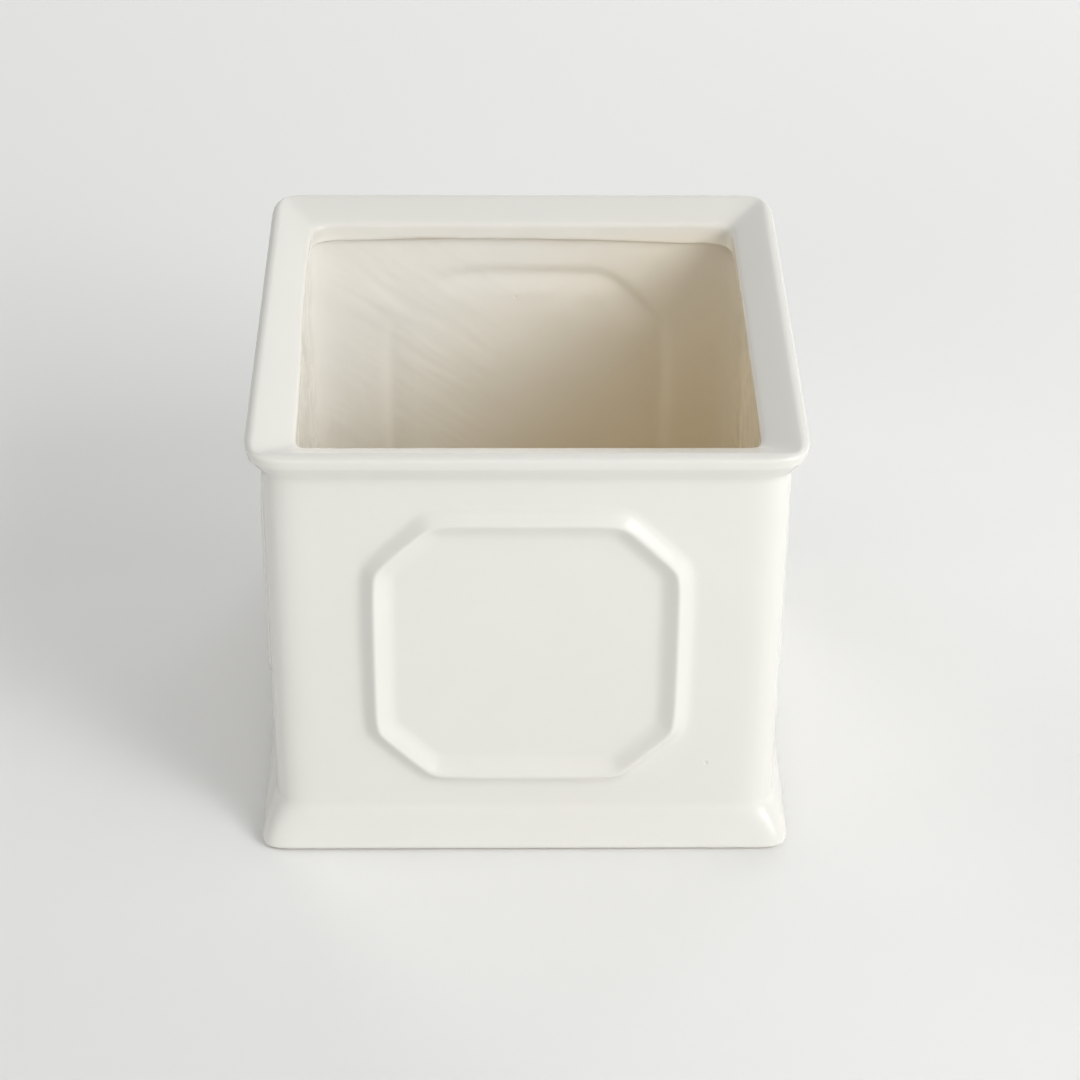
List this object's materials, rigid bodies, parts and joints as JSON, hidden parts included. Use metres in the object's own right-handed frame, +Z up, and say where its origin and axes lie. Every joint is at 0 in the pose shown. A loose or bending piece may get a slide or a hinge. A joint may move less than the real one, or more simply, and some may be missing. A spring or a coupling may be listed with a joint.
{
  "type": "cachepot",
  "caption": "Square glazed ceramic cachepot with a picture-frame rim, an octagonal moulding on each face and a splayed plinth on felt pads.",
  "frame": {"origin": "centre of the footprint, on the surface that the four pads rest on", "axes": "+Z up through the mouth; +X to the right and +Y to the back as the pot is seen from the front"},
  "size_m": [0.1526, 0.1526, 0.1344],
  "materials": {
    "glazed_ceramic": "opaque off-white gloss glaze over pale cast clay",
    "felt": "dense pale wool felt, self-adhesive"
  },
  "bodies": {
    "root": {"pot": "glazed_ceramic", "pad_front_left": "felt", "pad_front_right": "felt", "pad_back_left": "felt", "pad_back_right": "felt"}
  },
  "joints": []
}
